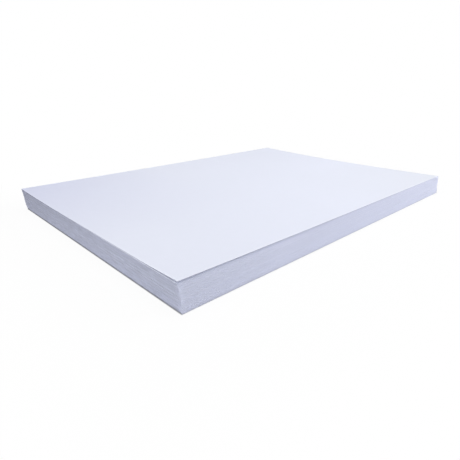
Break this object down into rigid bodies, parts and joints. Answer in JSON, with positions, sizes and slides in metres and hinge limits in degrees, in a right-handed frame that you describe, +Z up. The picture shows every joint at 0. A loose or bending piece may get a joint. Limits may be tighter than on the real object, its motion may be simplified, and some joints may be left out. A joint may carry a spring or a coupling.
{
  "type": "cardstock stack",
  "caption": "Squared-up stack of plain white A4 cardstock sheets lying flat, loose and slightly out of line, for printing, craft and drawing.",
  "frame": {"origin": "middle of the stack's footprint, on the surface that it lies on", "axes": "+X along the long side of the sheets, +Y along the short side away from the near edge, +Z up through the stack"},
  "size_m": [0.2992, 0.2114, 0.0204],
  "materials": {
    "cardstock": "matte"
  },
  "bodies": {
    "root": {"sheet_01": "cardstock", "sheet_02": "cardstock", "sheet_03": "cardstock", "sheet_04": "cardstock", "sheet_05": "cardstock", "sheet_06": "cardstock", "sheet_07": "cardstock", "sheet_08": "cardstock", "sheet_09": "cardstock", "sheet_10": "cardstock", "sheet_11": "cardstock", "sheet_12": "cardstock", "sheet_13": "cardstock", "sheet_14": "cardstock", "sheet_15": "cardstock", "sheet_16": "cardstock", "sheet_17": "cardstock", "sheet_18": "cardstock", "sheet_19": "cardstock", "sheet_20": "cardstock", "sheet_21": "cardstock", "sheet_22": "cardstock", "sheet_23": "cardstock", "sheet_24": "cardstock", "sheet_25": "cardstock", "sheet_26": "cardstock", "sheet_27": "cardstock", "sheet_28": "cardstock", "sheet_29": "cardstock", "sheet_30": "cardstock", "sheet_31": "cardstock", "sheet_32": "cardstock", "sheet_33": "cardstock", "sheet_34": "cardstock", "sheet_35": "cardstock", "sheet_36": "cardstock", "sheet_37": "cardstock", "sheet_38": "cardstock", "sheet_39": "cardstock", "sheet_40": "cardstock", "sheet_41": "cardstock", "sheet_42": "cardstock", "sheet_43": "cardstock", "sheet_44": "cardstock", "sheet_45": "cardstock", "sheet_46": "cardstock", "sheet_47": "cardstock", "sheet_48": "cardstock", "sheet_49": "cardstock", "sheet_50": "cardstock"}
  },
  "joints": []
}
